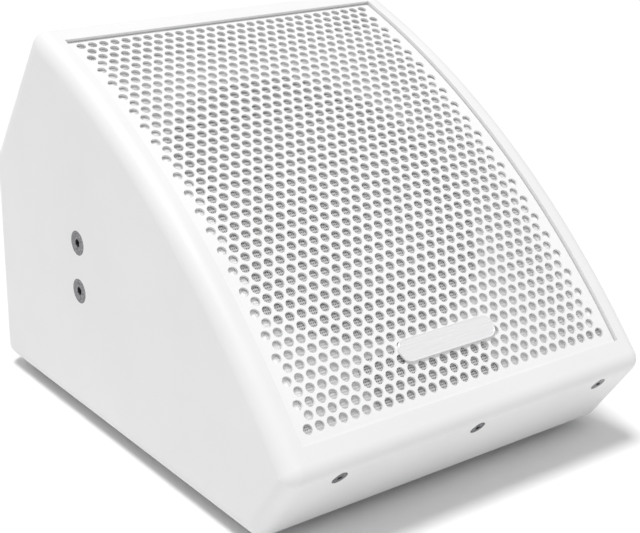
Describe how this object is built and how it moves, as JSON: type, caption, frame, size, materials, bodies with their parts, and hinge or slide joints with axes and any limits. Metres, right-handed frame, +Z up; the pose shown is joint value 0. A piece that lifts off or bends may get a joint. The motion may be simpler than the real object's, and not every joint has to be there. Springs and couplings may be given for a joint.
{
  "type": "stage monitor wedge",
  "caption": "White floor monitor: a wedge plywood cabinet with a curved perforated steel grille, a coaxial driver behind it, and loudspeaker sockets at the back.",
  "frame": {"origin": "on the floor under the middle of the whole object", "axes": "+X to the right seen from the front, +Y to the back, +Z up"},
  "size_m": [0.272, 0.3419, 0.2477],
  "materials": {
    "white_coating": "fine textured white coating on plywood",
    "white_powder_coat": "satin white powder coat on steel",
    "bare_plywood": "sanded birch plywood",
    "badge_finish": "brushed, blank",
    "dark_screws": "black zinc, satin",
    "steel_screws": "bright zinc",
    "cast_frame": "black textured paint on a casting",
    "rubber": "matt",
    "paper_cone": "coated paper pulp",
    "spider_cloth": "resin-stiffened cloth",
    "kapton": "translucent film",
    "copper_wire": "enamelled copper wire",
    "zinc_steel": "zinc plated",
    "ferrite": "sintered ferrite",
    "black_plastic": "moulded, fine texture",
    "titanium_film": "thin metal film",
    "socket_plastic": "glass-filled nylon",
    "brass_tabs": "tinned brass",
    "black_steel": "black powder coat",
    "board_laminate": "glass-epoxy laminate",
    "capacitor_case": "wrapped film",
    "resistor_cement": "white cement",
    "connector_plastic": "green moulded plastic",
    "wire_sheath": "pvc sheath",
    "scrim_cloth": "open white acoustic cloth",
    "wadding": "polyester wadding"
  },
  "bodies": {
    "cabinet": {"back_panel": "white_coating", "back_plate": "zinc_steel", "badge_clips": "steel_screws", "badge_plate": "badge_finish", "baffle": "white_coating", "baffle_battens": "bare_plywood", "board_standoffs": "black_plastic", "board_terminals": "connector_plastic", "bottom_panel": "white_coating", "crossover_board": "board_laminate", "damping_pad": "wadding", "driver_frame": "cast_frame", "driver_magnet": "ferrite", "driver_screws": "dark_screws", "driver_tee_nuts": "steel_screws", "driver_terminals": "black_plastic", "film_capacitors": "capacitor_case", "fly_plates": "zinc_steel", "fly_point_bolts": "dark_screws", "frame_gasket": "rubber", "front_lip_panel": "white_coating", "front_plate": "zinc_steel", "grille": "white_powder_coat", "grille_cleat_left": "white_coating", "grille_cleat_right": "white_coating", "grille_nuts": "steel_screws", "grille_screws": "dark_screws", "grille_scrim": "scrim_cloth", "inductor_bobbins": "black_plastic", "inductor_windings": "copper_wire", "input_wires": "wire_sheath", "link_wires": "wire_sheath", "phase_plug": "black_plastic", "port_duct": "black_plastic", "power_resistors": "resistor_cement", "rear_plate": "black_steel", "rear_plate_screws": "dark_screws", "rubber_feet": "rubber", "side_panel_left": "white_coating", "side_panel_right": "white_coating", "socket_input": "socket_plastic", "socket_link": "socket_plastic", "socket_screws": "dark_screws", "socket_tabs": "brass_tabs", "top_panel": "white_coating", "tweeter_front_plate": "zinc_steel", "tweeter_horn": "black_plastic", "tweeter_magnet": "ferrite", "tweeter_rear_cap": "black_plastic", "tweeter_top_plate": "zinc_steel", "tweeter_wires": "wire_sheath", "wood_screws": "steel_screws", "woofer_wires": "wire_sheath"},
    "cone_assembly": {"woofer_cone": "paper_cone", "coil_former": "kapton", "coil_winding": "copper_wire", "cone_surround": "rubber", "spider": "spider_cloth"},
    "tweeter_diaphragm": {"tweeter_dome": "titanium_film", "dome_suspension": "spider_cloth"}
  },
  "joints": [
    {"name": "cone_travel", "type": "slide", "parent": "cabinet", "child": "cone_assembly", "axis": [0, -0.5736, 0.8192], "range_m": [-0.004, 0.004], "stiffness_N_per_m": 4000, "deforming": ["cone_surround", "spider"]},
    {"name": "dome_travel", "type": "slide", "parent": "cabinet", "child": "tweeter_diaphragm", "axis": [0, -0.5736, 0.8192], "range_m": [-0.0003, 0.0003], "stiffness_N_per_m": 3000, "deforming": ["dome_suspension"]}
  ]
}
